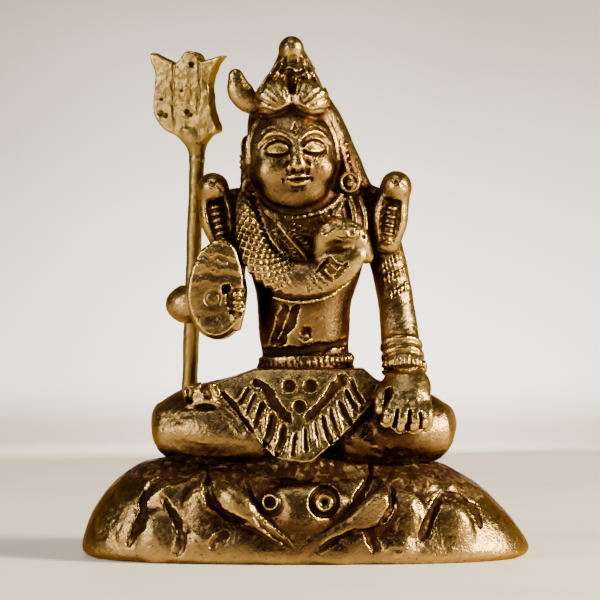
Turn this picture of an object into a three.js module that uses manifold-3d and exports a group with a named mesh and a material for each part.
// A small cast brass figure of the god Shiva, seated with crossed legs on a mound of rock, with a loose
// brass trident that stands in a socket in the rock and passes through a loop beside the raised hand.
//
// Millimetres, +Z up. The figure looks along -Y, its right hand is on the -X side, and the origin is the
// centre of the mound's flat underside. The figure and its mound are one casting; the trident lifts out.
import * as THREE from "three";
import { mergeVertices } from "three/addons/utils/BufferGeometryUtils.js";
import Module from "manifold-3d";

const wasm = await Module();
wasm.setup();

// Driving sizes.
const FIGURE_HEIGHT = 70; // from the seat on the mound to the top of the topknot
const BASE_WIDTH = 74.2;
const BASE_DEPTH = 40;
const BASE_HEIGHT = 16; // from the underside to the seat

const ROD_DIAMETER = 2.6;
const ROD_CLEARANCE = 0.3; // free space all round the rod, and under its foot
const SOCKET_DEPTH = 9; // down into the mound
const LOOP_WALL = 2; // least metal round the rod in the loop beside the hand
const TRIDENT_LENGTH = 64.4; // from the rod's foot to the shoulder of the head
const PRONG_HEIGHT = 14.3; // from the shoulder to the middle prong's tip
const PRONG_SPREAD = 13.2; // across the tips of the outer prongs
const PRONG_THICKNESS = 3;
const PRONG_TURN = 20; // degrees that the prongs are turned about the rod
const PRONG_OFFSET = -2.0; // the prongs stand off the rod's own line by this much

const PLEAT_DEPTH = 0.9; // of the cuts in the apron
const BELT_THICKNESS = 0.8;
const FACE_LIMIT = 9120; // faces that the figure and mound are drawn with, before the rod's hole is cut
const BRASS_COLOUR = 0xa8853f;
const ROD_COLOUR = 0xb08c45;

// The figure is drawn in seventieths of its own height above the seat, and the mound in the units below.
const FIGURE_UNITS = 70;
const MOUND_UNITS = [74.2, 40, 16];

const DEGREE = Math.PI / 180;
const figurePlace = new THREE.Matrix4()
  .makeScale(...Array(3).fill(FIGURE_HEIGHT / FIGURE_UNITS))
  .setPosition(0, 0, BASE_HEIGHT);
const moundPlace = new THREE.Matrix4().makeScale(
  BASE_WIDTH / MOUND_UNITS[0],
  BASE_DEPTH / MOUND_UNITS[1],
  BASE_HEIGHT / MOUND_UNITS[2],
);

// Turns a closed three.js geometry into a solid that can be joined and cut, with its faces pointing out.
function solidOf(geometry) {
  const bare = geometry.index ? geometry.toNonIndexed() : geometry.clone();
  for (const name of Object.keys(bare.attributes)) {
    if (name !== "position") bare.deleteAttribute(name);
  }
  const merged = mergeVertices(bare, 1e-4);
  const vertProperties = merged.attributes.position.array;
  const triVerts = new Uint32Array(merged.index.array);
  const made = new wasm.Manifold(new wasm.Mesh({ numProp: 3, vertProperties, triVerts }));
  if (made.volume() >= 0) return made;
  for (let i = 0; i < triVerts.length; i += 3) {
    [triVerts[i + 1], triVerts[i + 2]] = [triVerts[i + 2], triVerts[i + 1]];
  }
  return new wasm.Manifold(new wasm.Mesh({ numProp: 3, vertProperties, triVerts }));
}

function geometryOf(solid) {
  const { numProp, vertProperties, triVerts } = solid.getMesh();
  if (numProp !== 3) throw new Error("a solid should carry positions only");
  const geometry = new THREE.BufferGeometry();
  geometry.setAttribute("position", new THREE.BufferAttribute(new Float32Array(vertProperties), 3));
  geometry.setIndex(new THREE.BufferAttribute(new Uint32Array(triVerts), 1));
  return geometry;
}

const joined = (...solids) => solids.flat().reduce((all, next) => all.add(next));
const cut = (solid, ...tools) => tools.flat().reduce((left, tool) => left.subtract(tool), solid);

// Thins a solid's faces to a limit, by drawing the two ends of an edge together wherever that changes the
// form least. It works from the sum of squared distances to the planes that meet at each point, keeps every
// seam closed, keeps the ground flat, and drops the stray slivers without volume that joining can leave.
function thinned(solid, limit) {
  const { vertProperties, triVerts } = solid.getMesh();
  const triples = (list) =>
    Array.from({ length: list.length / 3 }, (_, i) => [...list.slice(3 * i, 3 * i + 3)]);
  const points = triples(vertProperties).map((triple) => new THREE.Vector3(...triple));
  const faces = triples(triVerts);
  const facesAt = points.map(() => new Set());
  faces.forEach((face) => face.forEach((v) => facesAt[v].add(face)));
  const normalOf = ([a, b, c]) => points[b].clone().sub(points[a]).cross(points[c].clone().sub(points[a]));
  const neighbours = (v) => new Set([...facesAt[v]].flat().filter((other) => other !== v));

  // Only the largest connected shell stays.
  const shell = new Map();
  const shells = [];
  for (const first of faces) {
    if (shell.has(first)) continue;
    const members = [first];
    shell.set(first, members);
    for (const face of members) {
      for (const next of face.flatMap((v) => [...facesAt[v]])) {
        if (!shell.has(next)) {
          shell.set(next, members);
          members.push(next);
        }
      }
    }
    shells.push(members);
  }
  const main = shells.sort((a, b) => b.length - a.length)[0];
  const alive = new Set(main);

  // The squared distance of a point from a set of weighted planes, as the ten numbers of a symmetric form.
  const forms = points.map(() => new Float64Array(10));
  for (const face of alive) {
    const normal = normalOf(face);
    const weight = normal.length() / 2;
    if (weight < 1e-9) continue;
    normal.normalize();
    const plane = [normal.x, normal.y, normal.z, -normal.dot(points[face[0]])];
    for (const v of face) {
      let slot = 0;
      for (let i = 0; i < 4; i++) {
        for (let j = i; j < 4; j++) forms[v][slot++] += weight * plane[i] * plane[j] * (i === j ? 1 : 2);
      }
    }
  }
  const harm = (a, b, { x, y, z }) => {
    const f = forms[a].map((value, i) => value + forms[b][i]);
    const terms = [x * x, x * y, x * z, x, y * y, y * z, y, z * z, z, 1];
    return terms.reduce((sum, term, i) => sum + term * f[i], 0);
  };
  const flips = (keep, drop, place) =>
    [keep, drop].some((v) =>
      [...facesAt[v]].some((face) => {
        if (face.includes(keep) && face.includes(drop)) return false;
        const before = normalOf(face);
        const held = points[v];
        points[v] = place;
        const after = normalOf(face);
        points[v] = held;
        return after.length() < 1e-5 || before.normalize().dot(after.normalize()) < 0.35;
      }),
    );

  while (alive.size > limit) {
    const edges = [];
    for (const face of alive) {
      for (let i = 0; i < 3; i++) {
        const [a, b] = [face[i], face[(i + 1) % 3]];
        if (a > b) continue;
        const [grounded, other] = points[a].z < points[b].z ? [a, b] : [b, a];
        const places = [points[grounded]];
        if (points[grounded].z > 1e-4) places.push(points[other], points[a].clone().lerp(points[b], 0.5));
        const [cost, place] = places
          .map((at) => [harm(a, b, at) + 1e-5 * points[a].distanceToSquared(points[b]), at])
          .sort((p, q) => p[0] - q[0])[0];
        edges.push([cost, a, b, place]);
      }
    }
    edges.sort((p, q) => p[0] - q[0]);
    const busy = new Set();
    const before = alive.size;
    for (const [, keep, drop, place] of edges.slice(0, Math.ceil(edges.length / 6))) {
      if (alive.size <= limit) break;
      if (busy.has(keep) || busy.has(drop)) continue;
      const [around, beside] = [neighbours(keep), neighbours(drop)];
      if ([...around].filter((v) => beside.has(v)).length !== 2 || flips(keep, drop, place)) continue;
      points[keep] = place.clone();
      forms[keep] = forms[keep].map((value, i) => value + forms[drop][i]);
      for (const face of [...facesAt[drop]]) {
        if (face.includes(keep)) {
          alive.delete(face);
          face.forEach((v) => facesAt[v].delete(face));
        } else {
          face[face.indexOf(drop)] = keep;
          facesAt[keep].add(face);
        }
      }
      facesAt[drop].clear();
      [keep, ...around, ...beside].forEach((v) => busy.add(v));
    }
    if (alive.size === before) break;
  }
  const geometry = new THREE.BufferGeometry().setFromPoints(points);
  geometry.setIndex([...alive].flat());
  return solidOf(geometry);
}

// A closed surface through rings of equally many points, with a pole point at each end.
function skin(startPole, rings, endPole) {
  const count = rings[0].length;
  const points = [startPole, ...rings.flat(), endPole];
  const faces = [];
  for (let i = 0; i < count; i++) {
    const next = (i + 1) % count;
    faces.push(0, 1 + next, 1 + i);
    for (let ring = 0; ring + 1 < rings.length; ring++) {
      const low = 1 + ring * count;
      const high = low + count;
      faces.push(low + i, low + next, high + next, low + i, high + next, high + i);
    }
    const top = 1 + (rings.length - 1) * count;
    faces.push(top + i, top + next, points.length - 1);
  }
  const geometry = new THREE.BufferGeometry().setFromPoints(points);
  geometry.setIndex(faces);
  return geometry;
}

// More stations along a path, on a smooth curve through the given ones.
function eased(stations, steps) {
  const through = (pick) =>
    new THREE.CatmullRomCurve3(stations.map((station) => new THREE.Vector3(...pick(station))));
  const line = through(([x, y, z]) => [x, y, z]);
  const sizes = through(([, , , wide, thick]) => [wide, thick, 0]);
  const count = (stations.length - 1) * steps;
  return Array.from({ length: count + 1 }, (_, i) => {
    const { x, y } = sizes.getPoint(i / count);
    return [...line.getPoint(i / count).toArray(), x, y];
  });
}

// The tools of one carver, who works in units that the matrix "place" carries to millimetres.
function carver(place) {
  const placed = (geometry) => solidOf(geometry.applyMatrix4(place));

  // An oval section carried along a path. A station is [x, y, z, half width, half thickness], and the
  // width lies as near to "across" as the path allows. "grow" swells the section, "smooth" adds stations
  // between the given ones, and "ends" is how far each end bulges, in half thicknesses.
  function limb(path, { across = [1, 0, 0], sides = 12, ends = [1, 1], grow = 0, smooth = 1 } = {}) {
    const stations = smooth > 1 ? eased(path, smooth) : path;
    const wide = new THREE.Vector3(...across);
    const centres = stations.map(([x, y, z]) => new THREE.Vector3(x, y, z));
    const last = stations.length - 1;
    const ring = (index, bulge, share) => {
      const [before, after] = [centres[Math.max(index - 1, 0)], centres[Math.min(index + 1, last)]];
      const along = after.clone().sub(before).normalize();
      const out = along.clone().cross(wide).normalize();
      const side = out.clone().cross(along).normalize();
      const [width, thickness] = stations[index].slice(3).map((half) => (half + grow) * share);
      const centre = centres[index].clone().addScaledVector(along, bulge);
      return Array.from({ length: sides }, (_, i) => {
        const angle = (2 * Math.PI * (i + 0.5)) / sides;
        return centre
          .clone()
          .addScaledVector(side, width * Math.cos(angle))
          .addScaledVector(out, thickness * Math.sin(angle));
      });
    };
    const reach = ends.map((share, end) => share * (stations[end ? last : 0][4] + grow));
    const cap = (end) =>
      (reach[end] > 0 ? [30, 60] : []).map((degrees) => {
        const rise = Math.sin(degrees * DEGREE) * reach[end];
        return ring(end ? last : 0, end ? rise : -rise, Math.cos(degrees * DEGREE));
      });
    const rings = [...cap(0).reverse(), ...stations.map((_, i) => ring(i, 0, 1)), ...cap(1)];
    const pole = (end) => {
      const [first, second] = end ? [last, last - 1] : [0, 1];
      const along = centres[first].clone().sub(centres[second]).normalize();
      return centres[first].clone().addScaledVector(along, reach[end]);
    };
    return placed(skin(pole(0), rings, pole(1)));
  }

  // An egg with three half axes, turned by degrees about X, Y and Z.
  function lump(centre, halves, { turn = [0, 0, 0], sides = 10 } = {}) {
    const geometry = new THREE.SphereGeometry(1, sides, Math.max(4, Math.round(sides * 0.6)));
    const turned = new THREE.Euler(...turn.map((angle) => angle * DEGREE));
    geometry.rotateX(Math.PI / 2).scale(...halves);
    geometry.applyQuaternion(new THREE.Quaternion().setFromEuler(turned));
    return placed(geometry.translate(...centre));
  }

  // A prism over an outline of [x, z] points, from y = back to y = front.
  function prism(outline, front, back) {
    const shape = new THREE.Shape(outline.map(([x, z]) => new THREE.Vector2(x, z)));
    const geometry = new THREE.ExtrudeGeometry(shape, { depth: back - front, bevelEnabled: false });
    return placed(geometry.rotateX(Math.PI / 2).translate(0, back, 0));
  }

  // A round ring that lies in the plane across "axis".
  function ring(centre, axis, radius, wire, { sides = 10, wireSides = 5 } = {}) {
    const geometry = new THREE.TorusGeometry(radius, wire, wireSides, sides);
    const turn = new THREE.Quaternion().setFromUnitVectors(
      new THREE.Vector3(0, 0, 1),
      new THREE.Vector3(...axis).normalize(),
    );
    return placed(geometry.applyQuaternion(turn).translate(...centre));
  }
  return { limb, lump, prism, ring };
}

const onSeat = carver(figurePlace);
const onMound = carver(moundPlace);

// A straight bar between two [x, z] points, as the outline of a prism, with its ends cut square.
function barOutline([x0, z0], [x1, z1], width) {
  const along = new THREE.Vector2(x1 - x0, z1 - z0).normalize();
  const [dx, dz] = [(-along.y * width) / 2, (along.x * width) / 2];
  return [
    [x0 - dx, z0 - dz],
    [x1 - dx, z1 - dz],
    [x1 + dx, z1 + dz],
    [x0 + dx, z0 + dz],
  ];
}

// The rod's line runs from the mound behind the right knee to the loop beside the raised hand.
const socketMouth = new THREE.Vector3(-20.1, 8.2, 14).applyMatrix4(moundPlace);
const loopCentre = new THREE.Vector3(-19.1, 5.8, 25.5).applyMatrix4(figurePlace);
const rodAlong = loopCentre.clone().sub(socketMouth).normalize();
const rodFoot = socketMouth.clone().addScaledVector(rodAlong, ROD_CLEARANCE - SOCKET_DEPTH);
const rodTurn = new THREE.Quaternion().setFromUnitVectors(new THREE.Vector3(0, 0, 1), rodAlong);

// The hole that the rod stands in, cut along its whole length so that nothing else touches the rod.
function rodHole() {
  const length = TRIDENT_LENGTH + ROD_CLEARANCE;
  const geometry = new THREE.CylinderGeometry(
    ROD_DIAMETER / 2 + ROD_CLEARANCE,
    ROD_DIAMETER / 2 + ROD_CLEARANCE,
    length,
    16,
  );
  geometry.rotateX(Math.PI / 2).translate(0, 0, length / 2 - ROD_CLEARANCE);
  return solidOf(geometry.applyQuaternion(rodTurn).translate(...rodFoot.toArray()));
}

// The mound is a low heap of rock with a flat foot, steeper in front, and longer on the figure's right.
// A station is [z, left, right, front, back].
const MOUND_PROFILE = [
  [0, 36, 36.2, 18.6, 19.2],
  [1.3, 37.1, 37.1, 19.5, 20],
  [4, 36.5, 35.7, 19.1, 19.6],
  [8, 34.9, 32.4, 18.1, 18.6],
  [11.4, 32.4, 28.9, 16.6, 17.4],
  [13.8, 29.6, 24.9, 14, 15.6],
  [15.4, 26.2, 21.5, 9.8, 12.6],
  [16.1, 20, 16, 5, 8.5],
];
const MOUND_SQUARE = 2.7; // 2 would make its plan a plain oval

function moundBlock() {
  const sides = 40;
  const power = (value) => Math.sign(value) * Math.abs(value) ** (2 / MOUND_SQUARE);
  const rings = MOUND_PROFILE.map(([z, left, right, front, back]) =>
    Array.from({ length: sides }, (_, i) => {
      const angle = (2 * Math.PI * i) / sides;
      const [c, s] = [power(Math.cos(angle)), power(Math.sin(angle))];
      return new THREE.Vector3(c * (c < 0 ? left : right), s * (s < 0 ? front : back), z);
    }),
  );
  const foot = new THREE.Vector3(0, 0, 0);
  const top = new THREE.Vector3(0, 0, MOUND_PROFILE.at(-1)[0]);
  return solidOf(skin(foot, rings, top).applyMatrix4(moundPlace));
}

// A point on the mound's front face, "proud" millimetres in front of it.
function onRock(x, z, proud = 0) {
  const above = Math.max(1, MOUND_PROFILE.findIndex(([level]) => level >= z));
  const [low, high] = [MOUND_PROFILE[above - 1], MOUND_PROFILE[above]];
  const share = (z - low[0]) / (high[0] - low[0]);
  const [, left, right, front] = low.map((value, i) => value + (high[i] - value) * share);
  const across = Math.min(1, Math.abs(x) / (x < 0 ? left : right)) ** MOUND_SQUARE;
  return [x, -front * (1 - across) ** (1 / MOUND_SQUARE) - proud, z];
}

// The front face of the mound: deep cuts between the rocks, and the head of a horned bull in the middle.
function mound() {
  const { limb, lump } = onMound;
  const trench = (half, ...points) =>
    limb(
      points.map(([x, z]) => [...onRock(x, z), half * 1.7, half]),
      { across: [0, 1, 0], sides: 4, ends: [0, 0], smooth: 2 },
    );
  const horn = (...points) =>
    limb(
      points.map(([x, z, proud, half]) => [...onRock(x, z, proud), half, half * 0.9]),
      { across: [0, 0, 1], sides: 10, smooth: 3 },
    );
  const head = [
    lump(onRock(-1.3, 8.8, -1.6), [6.8, 2.9, 4.3], { turn: [14, 0, 0], sides: 14 }),
    lump(onRock(-1.3, 5.2, -0.9), [3, 2, 3.1], { turn: [6, 0, 0] }),
    lump(onRock(-5.9, 10.2, -0.4), [2, 1.7, 1.9]),
    lump(onRock(3.1, 10.1, -0.4), [2.2, 1.7, 2.1]),
    horn([-14.4, 12.8, -0.4, 1.5], [-11.2, 10.6, 0.4, 2.4], [-6.8, 7.2, 0.2, 1.3], [-1.4, 3.4, 0, 0.8]),
    horn([12.9, 12.6, -0.4, 1.5], [10.9, 10, 0.4, 2.5], [6.3, 7.2, 0.2, 1.4], [-1, 3.1, 0, 0.8]),
  ];
  const trenches = [
    trench(1, [-20.6, 13.8], [-25, 12.2], [-26.2, 8], [-29.4, 1.8]),
    trench(0.9, [-22.8, 11], [-20.7, 5.8], [-19.1, 1.8]),
    trench(0.9, [-16.8, 13.4], [-15.9, 9.6], [-12.4, 7.2], [-7.8, 5.4], [-2.4, 1.4]),
    trench(1, [21.9, 10.8], [17.9, 3]),
    trench(0.8, [20.6, 12.2], [24.7, 10], [26.8, 8], [27.9, 5.6]),
    trench(0.9, [14.9, 13.2], [14.4, 9], [9.4, 6.2], [2.4, 2.4]),
    trench(0.8, [9.2, 5.4], [11.6, 1.8]),
  ];
  const pupils = [
    lump(onRock(-5.9, 10.2, 1.4), [0.9, 1, 0.9], { sides: 6 }),
    lump(onRock(3.1, 10.1, 1.4), [0.9, 1, 0.9], { sides: 6 }),
  ];
  return cut(joined(moundBlock(), head), trenches, pupils);
}

// The crossed legs: one bolster for the thighs, from knee to knee, and the two shins that cross before it.
const THIGHS = [
  [-22.4, -4.6, 5, 4.6, 5.6],
  [-19, -3.8, 6, 5.7, 8.2],
  [-14.6, -2.6, 6.8, 6, 9],
  [-9.6, -1.6, 7.2, 6.6, 9],
  [0, -1.2, 7.4, 7.2, 9],
  [9.6, -1.6, 7, 6.4, 9],
  [14.6, -2.6, 6.2, 5.8, 9],
  [19, -3.8, 5.6, 5.4, 8.2],
  [21.8, -4.6, 4.9, 4.5, 5.6],
];
const SHINS = [
  [
    [-20.4, -5.4, 4.9, 5.3, 5.9],
    [-16, -7.4, 4.6, 5.5, 6],
    [-11, -8.8, 3.8, 4.8, 5.4],
    [-7, -9.2, 3, 4, 4.6],
  ],
  [
    [19.8, -5.4, 4.8, 5.2, 5.9],
    [15.4, -7.4, 4.5, 5.3, 6],
    [10.4, -8.6, 3.6, 4.5, 5.2],
    [7, -9, 2.8, 3.6, 4.4],
  ],
];
const TRUNK = [
  [0, -1.4, 8, 10.4, 8.2],
  [0.1, -1, 12, 9.8, 7.8],
  [0.1, -0.8, 14.6, 8.3, 7],
  [0, -0.6, 17, 7.2, 6],
  [-0.2, -0.7, 21, 7.6, 6.4],
  [-0.2, -0.9, 26, 7.9, 6.9],
  [0, -1, 31, 9.2, 7.3],
  [0, -0.6, 36, 10.6, 7],
  [0, 0.2, 40, 11.4, 5.6],
  [-0.4, 0.6, 43.2, 8.8, 4.4],
];

function legs() {
  const { limb } = onSeat;
  return [
    limb(THIGHS, { across: [0, 0, 1], sides: 18, ends: [0.5, 0.5] }),
    SHINS.map((shin) => limb(shin, { across: [0, 0, 1], sides: 16, ends: [0.75, 0.6] })),
  ].flat();
}

// The hide worn as an apron: a fringed V that hangs over the shins, with two bold bars and three spots.
const APRON_OUTLINE = [
  [-17, 11.6],
  [-9.9, 6],
  [-5, 1.4],
  [-0.4, -0.4],
  [1, 0.4],
  [4.9, 3.6],
  [9.7, 8.4],
  [12.8, 12.2],
  [9.4, 15],
  [-8.4, 15],
];
const APRON_FALL = [
  [0, -3.6, 15.8, 20, 5.4],
  [0, -7.6, 8, 21, 5.6],
  [0, -11.2, -1.5, 20, 5],
];

// A point on the apron's front, taken along the fall of the cloth.
function onCloth([x, z]) {
  const above = z > APRON_FALL[1][2] ? 0 : 1;
  const [high, low] = [APRON_FALL[above], APRON_FALL[above + 1]];
  const share = (high[2] - z) / (high[2] - low[2]);
  const [, y, , wide, thick] = high.map((value, i) => value + (low[i] - value) * share);
  return [x, y - thick * 1.08 * Math.sqrt(1 - (x / wide) ** 2), z];
}

function apron() {
  const { prism, limb, lump } = onSeat;
  const groove = (from, to, half, depth) =>
    limb([from, to].map((at) => [...onCloth(at), half, depth]), { sides: 4, ends: [0, 0] });
  const mix = (a, b, share) => a.map((value, i) => value + (b[i] - value) * share);
  const fringe = ([inner0, inner1], [outer0, outer1], count) =>
    Array.from({ length: count }, (_, i) => {
      const share = (i + 0.5) / count;
      return groove(mix(inner0, inner1, share), mix(outer0, outer1, share), 0.75, PLEAT_DEPTH);
    });
  const cuts = [
    groove([-8.6, 12.8], [-1.4, 6.4], 1, PLEAT_DEPTH),
    groove([8, 13.8], [0.4, 6.6], 1, PLEAT_DEPTH),
    fringe([[-11.2, 12.4], [-1.4, 4.4]], [[-15.2, 10.2], [-1.8, 0.2]], 7),
    fringe([[10.8, 13.2], [0.6, 4.4]], [[12.8, 11], [1, 0.8]], 6),
    [[-2.7, 12.2], [0.7, 12.2], [-1, 9.3]].map((at) => lump(onCloth(at), [1.1, 0.7, 1.1], { sides: 6 })),
  ].flat();
  const cloth = limb(APRON_FALL, { sides: 14, ends: [0, 0] });
  return cut(cloth.intersect(prism(APRON_OUTLINE, -20, -3)), cuts);
}

// A ribbed belt round the waist.
const trunkSolid = (grow) => onSeat.limb(TRUNK, { sides: 20, ends: [0.3, 0.5], grow });

function belt() {
  const { prism, limb } = onSeat;
  const [low, high] = [[0.1, -0.9, 14.3, 8.3, 7.1], [0, -0.8, 16.2, 7.5, 6.4]];
  const band = limb([low, high], { sides: 16, ends: [0, 0], grow: BELT_THICKNESS });
  const ribs = Array.from({ length: 9 }, (_, i) => {
    const x = -6 + i * 1.5;
    return prism(barOutline([x, 14], [x, 17], 0.5), -12, -4);
  });
  return cut(band, ribs);
}

// The raised right arm: a short upper arm, a stout forearm, the open palm, and the rod's loop.
const PALM_OUTLINE = [
  [-15.2, 35.8],
  [-13.4, 36],
  [-11.6, 34.8],
  [-10.4, 31.4],
  [-10, 27.6],
  [-10.7, 24.4],
  [-12.9, 21.7],
  [-15, 20.2],
  [-16.8, 21],
  [-18.8, 23.8],
  [-19.3, 26.8],
  [-18.6, 30.8],
  [-17.2, 34],
];
function rightArm() {
  const { limb, lump, prism } = onSeat;
  const loopHalf = (FIGURE_UNITS / FIGURE_HEIGHT) * (ROD_DIAMETER / 2 + ROD_CLEARANCE + LOOP_WALL);
  const creases = [31.9, 29.6, 28].map((z) =>
    prism(barOutline([-19.8, z], [-12, z + 0.2], 0.5), -12, -9.8),
  );
  const upper = [
    [-11.6, 0.4, 39.6, 3, 3.2],
    [-12.6, 1.6, 33.6, 2.9, 3.1],
    [-13.4, 2.4, 27.4, 3, 3.1],
    [-13.6, 1.6, 24, 3.2, 3.2],
  ];
  const fore = [
    [-13.6, 2, 24.6, 3.2, 4.6],
    [-14, -3, 25.8, 4.2, 6.4],
    [-14.4, -7, 27.2, 4.9, 7.9],
    [-14.6, -9.2, 27.8, 4.6, 7.6],
  ];
  const thumb = [
    [-11.8, -9.8, 23.4, 0.9, 1],
    [-10.8, -10, 25.6, 1, 1.1],
    [-10.8, -10, 28.6, 0.8, 0.9],
  ];
  return cut(
    joined(
      limb(upper),
      limb(fore, { sides: 18, ends: [0.2, 0] }),
      prism(PALM_OUTLINE, -10.2, -8.6),
      lump([-19.3, 5.7, 25.5], [loopHalf + 0.7, loopHalf, 3.4], { sides: 10 }),
      limb(thumb, { sides: 6 }),
      lump([-14.9, -10.1, 26.6], [1.2, 0.6, 1.2]),
    ),
    creases,
    lump([-12.9, -10.4, 28], [0.7, 1, 1], { sides: 6 }),
  );
}

// The left arm hangs straight to a hand that lies over the knee.
const LEFT_ARM = [
  [11.8, 0.6, 39.4, 3.1, 3.4],
  [13.6, 1, 33.4, 3.1, 3.3],
  [15, 0.2, 26.4, 3, 3.1],
  [15.7, -2.4, 19.8, 3.2, 3],
  [16.3, -6.4, 14.2, 3.3, 2.7],
];
// The bangles, as [share of the way down the arm's last stretch, width as a share of it, rise].
const BANGLES = [
  [0.42, 0.16, 0.5],
  [0.6, 0.1, 0.4],
  [0.76, 0.2, 0.55],
];
function leftArm() {
  const { limb } = onSeat;
  const [above, wrist] = LEFT_ARM.slice(-2);
  const between = (share, rise) =>
    above.map((value, i) => value + (wrist[i] - value) * share + (i > 2 ? rise : 0));
  const steps = BANGLES.flatMap(([at, width, rise]) => [
    between(at - width / 2 - 0.01, 0),
    between(at - width / 2, rise),
    between(at + width / 2, rise),
    between(at + width / 2 + 0.01, 0),
  ]);
  const armlet = limb([[14.3, 0.6, 31, 3.35, 3.55], [13.5, 0.6, 33, 3.35, 3.55]], { ends: [0, 0] });
  const palm = [
    [16.2, -7.4, 13.6, 3.2, 2.5],
    [16.2, -10.4, 12, 3.9, 2.4],
    [16.1, -13.2, 9.6, 3.6, 1.9],
  ];
  const thumb = [
    [13.2, -9.6, 12.6, 1, 1.1],
    [12.2, -12.8, 10.8, 0.95, 1],
    [12, -14, 8.6, 0.8, 0.9],
  ];
  const fingers = Array.from({ length: 4 }, (_, i) => {
    const x = 13.4 + i * 1.85;
    const drop = [0.2, 0.6, 0.5, -0.6][i];
    return limb(
      [[x, -13.4, 9.8, 0.9, 1.1], [x - 0.1, -15.6, 7.4, 0.9, 1], [x, -15.4, 5.4 - drop, 0.85, 0.9]],
      { sides: 6, ends: [0, 1] },
    );
  });
  return joined(
    limb([...LEFT_ARM.slice(0, -1), ...steps, wrist], { ends: [0.8, 0.3] }),
    limb(palm, { ends: [0.4, 0.6] }),
    fingers,
    limb(thumb, { sides: 6 }),
    armlet,
  );
}

// A small cobra that rears on a shoulder, its hood open to the front with a laddered belly.
// Its line is given as [x, z] at the foot, at the top of the hood and at the snout.
function shoulderCobra([footX, footZ], [hoodX, hoodZ], [headX, headZ]) {
  const { limb, lump, prism } = onSeat;
  const middle = [(footX + hoodX) / 2, (footZ + hoodZ) / 2];
  const hood = limb(
    [
      [footX, -2.6, footZ, 2, 1.8],
      [middle[0], -3.2, middle[1], 2.6, 1.9],
      [hoodX, -2.8, hoodZ, 2.7, 1.8],
      [headX, -2.6, headZ - 0.4, 2.2, 1.8],
    ],
    { sides: 12, smooth: 2 },
  );
  const snout = lump([headX, -4.4, headZ], [2.4, 2.7, 2], { turn: [12, 0, 0] });
  const trough = limb(
    [[footX, -5, footZ + 0.6, 1, 1.1], [hoodX, -5.2, hoodZ, 1.2, 1.2]],
    { sides: 4, ends: [0, 0] },
  );
  const rungs = [0.14, 0.46, 0.78].map((share) => {
    const [x, z] = [footX + (hoodX - footX) * share, footZ + 0.4 + (hoodZ - footZ - 0.4) * share];
    return prism(barOutline([x - 1.1, z], [x + 1.1, z], 0.8), -5, -3);
  });
  return joined(cut(hood, trough), snout, rungs);
}

// The great cobra round the neck: a broad band over the right shoulder that swells into a hood on the left
// breast, with a heavy brow over a hollow, two eyes and a row of cut teeth.
function neckCobra() {
  const { limb, lump, prism } = onSeat;
  const body = limb(
    [
      [-9.6, 3.4, 43.6, 1.7, 1.4],
      [-10, -2.6, 42.6, 1.8, 1.6],
      [-10, -6, 39.6, 1.9, 1.7],
      [-9.3, -7.9, 35.8, 2.1, 1.7],
      [-7.2, -9, 32.1, 2.4, 1.8],
      [-3.2, -9.7, 29.6, 2.8, 1.9],
      [1.4, -10.2, 29.6, 3, 2],
      [4.6, -10.7, 31.6, 3.7, 2],
      [6, -10.3, 34.4, 4.5, 2.1],
    ],
    { across: [0, 0.3, 1], sides: 12, ends: [0.5, 0.8], smooth: 2 },
  );
  const brow = limb(
    [
      [3, -10.6, 35.6, 1.5, 1.6],
      [5, -11.2, 36.9, 2, 2],
      [7.8, -11, 36.5, 2, 2],
      [9.3, -10, 34.4, 1.4, 1.6],
    ],
    { across: [0, 0, 1], smooth: 3 },
  );
  const hollow = lump([6, -12.6, 33.6], [2.7, 1.3, 1.2], { turn: [0, -14, 0] });
  const teeth = Array.from({ length: 4 }, (_, i) => {
    const [x, z] = [2.2 + i * 1.05, 29.8 + i * 0.85];
    return prism(barOutline([x - 0.8, z + 1.2], [x + 0.9, z - 1], 0.45), -14, -11.9 - i * 0.15);
  });
  const eyes = [
    lump([4, -12.9, 37.5], [0.9, 0.7, 0.9], { sides: 6 }),
    lump([7.3, -13, 37.4], [1, 0.7, 1], { sides: 6 }),
  ];
  return joined(cut(body, hollow, teeth), brow, eyes);
}

// The strings of beads: a collar under the chin and two longer ones that meet over the breast.
function necklaces() {
  const { limb } = onSeat;
  const string = (drop, reach, radius) =>
    limb(
      Array.from({ length: 7 }, (_, i) => {
        const side = (i - 3) / 3;
        const fall = 1 - side * side;
        return [reach * side, -2.6 - 5.2 * Math.sqrt(fall), 42.6 - drop * fall, radius, radius];
      }),
      { across: [0, 0, 1], sides: 6, ends: [0, 0], smooth: 2 },
    );
  return [string(3.2, 6.4, 0.7), string(5.6, 7.2, 0.7), string(9, 7.8, 0.6)];
}

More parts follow.
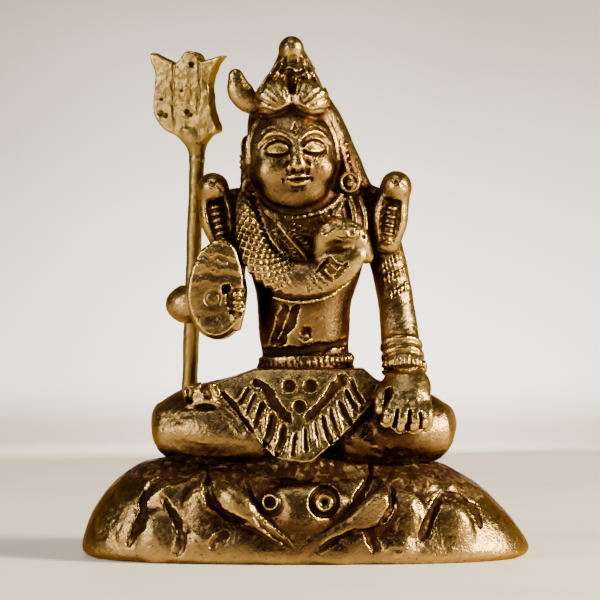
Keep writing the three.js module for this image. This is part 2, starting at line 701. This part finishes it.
// The head leans a little to the right. Its face is calm and follows plain rules of thumb: the eyes halfway
// down, the nose as long as a third of the face, the mouth a third of the way from nose to chin.
const HEAD_CENTRE = [-1.6, -3, 49.4];
const HEAD_HALVES = [7.5, 7.4, 8.3];
const HEAD_LEAN = -3 * DEGREE;
function head() {
  const { limb, lump } = onSeat;
  const [halfWidth, halfDepth, halfHeight] = HEAD_HALVES;
  // A point on the face, from shares of the half width and half height, a little in front of the skin.
  const onFace = (across, up, proud) => {
    const depth = Math.sqrt(Math.max(0, 1 - across * across - up * up));
    const point = new THREE.Vector3(across * halfWidth, -depth * halfDepth - proud, up * halfHeight);
    point.applyAxisAngle(new THREE.Vector3(0, 1, 0), HEAD_LEAN);
    return point.add(new THREE.Vector3(...HEAD_CENTRE)).toArray();
  };
  const arc = (points, radius, smooth = 2) =>
    limb(
      points.map(([across, up, proud = 0]) => [...onFace(across, up, proud), radius, radius]),
      { across: [0, 0, 1], sides: 6, ends: [0.5, 0.5], smooth },
    );
  const bothSides = (make) => [-1, 1].map(make);
  const browLine = [[0.12, 0.29], [0.24, 0.39], [0.42, 0.43], [0.58, 0.38], [0.69, 0.27]];
  const brows = bothSides((s) => arc(browLine.map(([across, up]) => [s * across, up]), 0.5, 1));
  const inEye = (halves, up, proud) =>
    bothSides((s) => lump(onFace(s * 0.38, up, proud), halves, { turn: [0, 0, s * 24] }));
  const sockets = inEye([2.1, 1.1, 1.15], 0.14, 0.5);
  const balls = inEye([1.7, 0.9, 0.8], 0.13, -0.5);
  const nose = limb(
    [
      [...onFace(0, 0.26, -0.2), 0.7, 0.6],
      [...onFace(0, 0, 0.5), 0.9, 0.9],
      [...onFace(0, -0.2, 0.7), 1.45, 1],
    ],
    { sides: 6 },
  );
  const hairline = arc(
    [[-0.86, 0.1], [-0.7, 0.5], [-0.36, 0.7], [0, 0.64], [0.36, 0.7], [0.7, 0.5], [0.86, 0.1]],
    0.5,
  );
  const lips = [
    arc([[-0.26, -0.42], [0, -0.4, 0.55], [0.26, -0.42]], 0.42, 3),
    arc([[-0.2, -0.49], [0, -0.52, 0.5], [0.2, -0.49]], 0.48, 3),
  ];
  const chin = lump(onFace(0, -0.76, -1), [2, 1.5, 1.5], { sides: 8 });
  const skull = lump(HEAD_CENTRE, HEAD_HALVES, { turn: [0, HEAD_LEAN / DEGREE, 0], sides: 24 });
  const neck = limb([[-0.6, -0.6, 41, 4.6, 4.4], [-1.2, -1.4, 46, 4.4, 4.6]], { ends: [0, 0] });
  return joined(cut(skull, sockets), balls, brows, hairline, nose, lips, chin, neck);
}

// The hair: a flat veil of locks that spreads from the topknot to the shoulders, with the crown before it.
function hair() {
  const { limb, lump, prism, ring } = onSeat;
  const veil = limb(
    [
      [1.4, 4.8, 34, 8.6, 3],
      [0.9, 3.8, 38, 10.8, 4],
      [0.6, 3, 42, 11.4, 4.6],
      [0.1, 2, 46, 10.2, 5.6],
      [-1.1, 1, 52, 8.8, 6.2],
      [-2, 0, 56.6, 7.7, 6.2],
      [-2.2, -0.6, 60.4, 6, 5.2],
      [-2, -1.2, 64, 4, 3.8],
      [-2.2, -1.6, 67.6, 2, 2.2],
    ],
    { sides: 18, ends: [0.4, 0.6] },
  );
  const crownLobe = (side) => {
    const x = -2.3 + side * 3;
    const lobe = lump([x, -6.2, 60.2], [3.5, 2.1, 2.9], { turn: [-16, side * 24, side * 18], sides: 14 });
    const cuts = [-1.5, -0.5, 0.5, 1.5].map((dx) =>
      prism(barOutline([x + dx * 0.7, 57.8], [x + dx * 1.3, 62.4], 0.45), -12, -7.7),
    );
    return cut(lobe, cuts);
  };
  const crescent = limb(
    [
      [-6.6, -2.6, 58.2, 1.2, 1.3],
      [-9.4, -2.8, 58.6, 1.2, 1.5],
      [-11, -3, 60.6, 1.2, 1.6],
      [-11.5, -3, 62.8, 1, 1],
    ],
    { across: [0, 1, 0], sides: 8, ends: [0, 1], smooth: 3 },
  );
  const locks = [-1, 1].map((side) =>
    limb(
      [
        [-1.4 + side * 7.6, -2, 52, 1.3, 1.8],
        [-0.8 + side * 8.4, -2.2, 47, 1.5, 2],
        [-0.2 + side * 8.8, -2.6, 43, 1.7, 2],
        [0.2 + side * 8.8, -2.4, 39.6, 1.6, 1.8],
      ],
      { sides: 8, smooth: 2 },
    ),
  );
  const earrings = [
    ring([7.3, -4.9, 45.6], [0.25, 1, 0], 1.45, 0.4),
    ring([-9, -4.6, 44.8], [-0.25, 1, 0], 1.25, 0.4),
    lump([7.3, -4.4, 45.6], [1.1, 0.8, 1.1], { sides: 6 }),
    lump([-9, -4.2, 44.8], [0.9, 0.8, 0.9], { sides: 6 }),
  ];
  return [
    veil,
    limb([[-11.6, 1.6, 43, 2, 2.2], [11.4, 1.6, 43.2, 2, 2.2]], { across: [0, 0, 1], sides: 8 }),
    lump([-2.3, -2.4, 67.8], [2, 2.5, 2.2], { sides: 12 }),
    lump([-2.4, -4.2, 64.2], [1, 0.9, 1], { sides: 6 }),
    crownLobe(-1),
    crownLobe(1),
    crescent,
    locks,
    earrings,
  ].flat();
}

// The cloth's knot and the toes that show on the right thigh.
function thighKnot() {
  const { limb, lump } = onSeat;
  return cut(
    limb([[-18.6, -9.6, 9.6, 1.3, 1.5], [-14.8, -10, 10, 1.3, 1.5]], { across: [0, 0, 1], sides: 8 }),
    lump([-18, -10.8, 10.8], [0.6, 0.8, 0.7], { sides: 6 }),
    lump([-15.9, -11.2, 11], [0.6, 0.8, 0.7], { sides: 6 }),
  );
}

function figure() {
  const { limb, lump } = onSeat;
  const navel = lump([0.1, -7.6, 20.4], [0.8, 0.9, 0.7], { sides: 8 });
  const sash = [0, 2].map((dx) =>
    limb(
      [[-2.6 + dx * 0.9, -8.1, 25.2, 0.35, 0.6], [-5.4 + dx * 0.4, -5.9, 18.2, 0.25, 0.5]],
      { sides: 5, ends: [0, 0] },
    ),
  );
  const trunk = cut(trunkSolid(0), navel, sash);
  const body = joined(
    mound(),
    legs(),
    trunk,
    apron(),
    belt(),
    thighKnot(),
    rightArm(),
    leftArm(),
    necklaces(),
    neckCobra(),
    shoulderCobra([-13.6, 36], [-14.9, 42.2], [-15.3, 45]),
    shoulderCobra([13.4, 35.6], [14.3, 42], [15, 45.2]),
    head(),
    hair(),
  );
  return cut(thinned(body, FACE_LIMIT), rodHole());
}

// The trident: a flat tulip of three prongs on a short cone at the top of a round rod.
// The head's outline is in shares of its own half width and height, from the shoulder up the right side.
const HALF_HEAD = [
  [0.3, 0],
  [0.7, 0.08],
  [0.84, 0.22],
  [0.84, 0.42],
  [0.77, 0.6],
  [0.82, 0.76],
  [1, 0.96],
  [0.5, 0.86],
  [0.32, 0.95],
  [0.12, 1],
];
function tridentSolid() {
  const outline = [...HALF_HEAD, ...HALF_HEAD.map(([x, z]) => [-x, z]).reverse()];
  const shape = new THREE.Shape(
    outline.map(([x, z]) => new THREE.Vector2((x * PRONG_SPREAD) / 2, z * PRONG_HEIGHT)),
  );
  const edge = PRONG_THICKNESS / 10;
  const blade = new THREE.ExtrudeGeometry(shape, {
    depth: PRONG_THICKNESS - 2 * edge,
    bevelThickness: edge,
    bevelSize: edge,
    bevelOffset: -edge,
    bevelSegments: 1,
  });
  blade
    .translate(PRONG_OFFSET, 0, edge - PRONG_THICKNESS / 2)
    .rotateX(Math.PI / 2)
    .rotateZ(-PRONG_TURN * DEGREE)
    .translate(0, 0, TRIDENT_LENGTH);
  const radius = ROD_DIAMETER / 2;
  const collar = PRONG_THICKNESS / 2;
  const rod = new THREE.LatheGeometry(
    [
      new THREE.Vector2(0, 0),
      new THREE.Vector2(radius, 0),
      new THREE.Vector2(radius, TRIDENT_LENGTH - 2 * collar),
      new THREE.Vector2(radius + collar * 0.7, TRIDENT_LENGTH),
      new THREE.Vector2(radius + collar * 0.2, TRIDENT_LENGTH + collar * 0.7),
      new THREE.Vector2(0, TRIDENT_LENGTH + collar),
    ],
    16,
  ).rotateX(Math.PI / 2);
  const grooves = [-1, 1].map((side) => {
    const groove = new THREE.CylinderGeometry(0.4, 0.4, PRONG_HEIGHT * 0.7, 6);
    const x = PRONG_OFFSET + side * PRONG_SPREAD * 0.17;
    groove
      .rotateX(Math.PI / 2)
      .rotateY(side * 3 * DEGREE)
      .translate(x, -PRONG_THICKNESS / 2 - 0.05, PRONG_HEIGHT * 0.58)
      .rotateZ(-PRONG_TURN * DEGREE)
      .translate(0, 0, TRIDENT_LENGTH);
    return solidOf(groove);
  });
  return cut(solidOf(rod).add(solidOf(blade)), grooves);
}

function finish(color) {
  return new THREE.MeshStandardMaterial({ color, roughness: 0.38, metalness: 1, flatShading: true });
}

const casting = new THREE.Mesh(geometryOf(figure()), finish(BRASS_COLOUR));
casting.name = "shiva_and_mound";

const trident = new THREE.Mesh(geometryOf(tridentSolid()), finish(ROD_COLOUR));
trident.name = "trident";
trident.position.copy(rodFoot);
trident.quaternion.copy(rodTurn);

const part = new THREE.Group();
part.add(casting, trident);
export default part;
